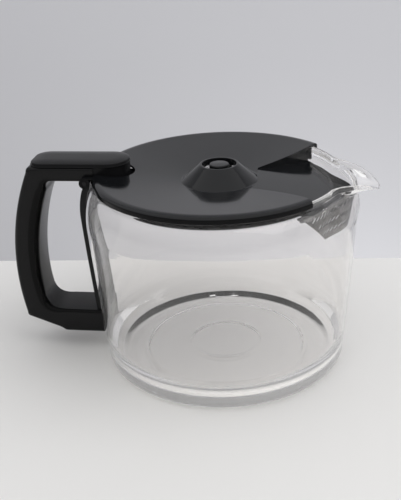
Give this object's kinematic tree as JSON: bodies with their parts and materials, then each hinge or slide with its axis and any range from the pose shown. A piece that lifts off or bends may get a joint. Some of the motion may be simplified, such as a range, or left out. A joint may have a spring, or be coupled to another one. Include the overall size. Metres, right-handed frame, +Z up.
{
  "type": "coffee server carafe",
  "caption": "Glass coffee server with a pulled pouring spout, a moulded side handle and a hinged drip-through lid with a slotted strainer.",
  "frame": {"origin": "on the resting plane, on the axis of the round glass", "axes": "+Z up, +X towards the pouring spout, so the handle is on the -X side and the part is symmetric about the XZ plane"},
  "size_m": [0.2031, 0.1472, 0.1152],
  "materials": {
    "jug_glass": "clear, polished",
    "adhesive": "translucent grey silicone",
    "handle_plastic": "satin black",
    "cover_plastic": "satin charcoal",
    "steel": "turned",
    "lid_plastic": "semi-gloss charcoal",
    "strainer_steel": "polished stainless sheet",
    "pin_steel": "drawn wire"
  },
  "bodies": {
    "jug": {"glass_jug": "jug_glass", "bond_pads": "adhesive", "handle": "handle_plastic", "handle_cover": "cover_plastic", "cover_screw": "steel"},
    "lid": {"lid": "lid_plastic", "strainer": "strainer_steel", "hinge_pin": "pin_steel"}
  },
  "joints": [
    {"name": "lid_hinge", "type": "hinge", "parent": "jug", "child": "lid", "pos_m": [-0.071, 0, 0.105], "axis": [0, -1, 0], "range_deg": [0, 90]}
  ]
}
